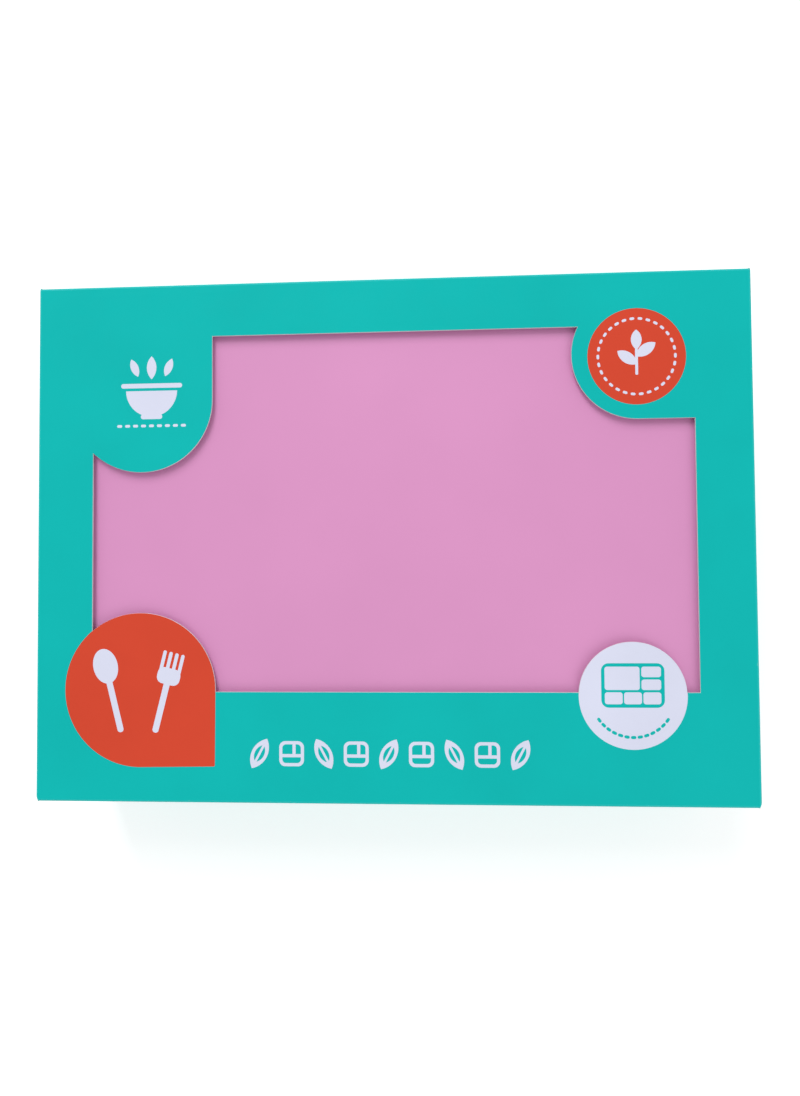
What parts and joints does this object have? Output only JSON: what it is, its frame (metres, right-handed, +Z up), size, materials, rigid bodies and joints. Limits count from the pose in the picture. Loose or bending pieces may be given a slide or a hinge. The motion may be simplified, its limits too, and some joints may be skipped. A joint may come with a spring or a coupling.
{
  "type": "bento lunch box in a window carton",
  "caption": "Flat divided lunch box with a clip-down lid and lift-out food tray, in a two-piece paperboard carton whose front panel has a shaped window.",
  "frame": {"origin": "middle of the carton's underside", "axes": "+Z up through the window, +X along the carton's long side, +Y towards the edge at the top of the front panel's layout"},
  "size_m": [0.26, 0.19, 0.0576],
  "materials": {
    "printed_board": "satin",
    "plain_board": "matte",
    "box_plastic": "satin",
    "tray_plastic": "satin",
    "latch_plastic": "satin",
    "gasket_rubber": "matte",
    "pin_steel": "satin"
  },
  "bodies": {
    "carton_base": {"carton_bottom_panel": "plain_board", "carton_base_wall_right": "plain_board", "carton_base_wall_left": "plain_board", "carton_base_wall_rear": "plain_board", "carton_base_wall_front": "plain_board", "carton_base_glue_tabs": "plain_board"},
    "lunch_box": {"box_base": "box_plastic"},
    "food_tray": {"food_tray": "tray_plastic"},
    "lid": {"lid": "box_plastic", "lid_gasket": "gasket_rubber", "latch_pin_front": "pin_steel", "latch_pin_rear": "pin_steel", "latch_pin_left": "pin_steel", "latch_pin_right": "pin_steel"},
    "front_latch": {"latch_front": "latch_plastic"},
    "rear_latch": {"latch_rear": "latch_plastic"},
    "left_latch": {"latch_left": "latch_plastic"},
    "right_latch": {"latch_right": "latch_plastic"},
    "carton_cover": {"cover_front_panel": "printed_board", "cover_wall_right": "printed_board", "cover_wall_left": "printed_board", "cover_wall_rear": "printed_board", "cover_wall_front": "printed_board", "cover_glue_tabs": "plain_board"}
  },
  "joints": [
    {"name": "box_lift", "type": "slide", "parent": "carton_base", "child": "lunch_box", "axis": [0, 0, 1], "range_m": [0, 0.075]},
    {"name": "tray_lift", "type": "slide", "parent": "lunch_box", "child": "food_tray", "axis": [0, 0, 1], "range_m": [0, 0.05]},
    {"name": "lid_lift", "type": "slide", "parent": "food_tray", "child": "lid", "axis": [0, 0, 1], "range_m": [0, 0.06]},
    {"name": "front_latch_swing", "type": "hinge", "parent": "lid", "child": "front_latch", "pos_m": [0, -0.0774, 0.0496], "axis": [-1, 0, 0], "range_deg": [0, 95]},
    {"name": "rear_latch_swing", "type": "hinge", "parent": "lid", "child": "rear_latch", "pos_m": [0, 0.0774, 0.0496], "axis": [1, 0, 0], "range_deg": [0, 95]},
    {"name": "left_latch_swing", "type": "hinge", "parent": "lid", "child": "left_latch", "pos_m": [-0.1124, 0, 0.0496], "axis": [0, 1, 0], "range_deg": [0, 95]},
    {"name": "right_latch_swing", "type": "hinge", "parent": "lid", "child": "right_latch", "pos_m": [0.1124, 0, 0.0496], "axis": [0, -1, 0], "range_deg": [0, 95]},
    {"name": "cover_lift", "type": "slide", "parent": "lid", "child": "carton_cover", "axis": [0, 0, 1], "range_m": [0, 0.075]}
  ]
}
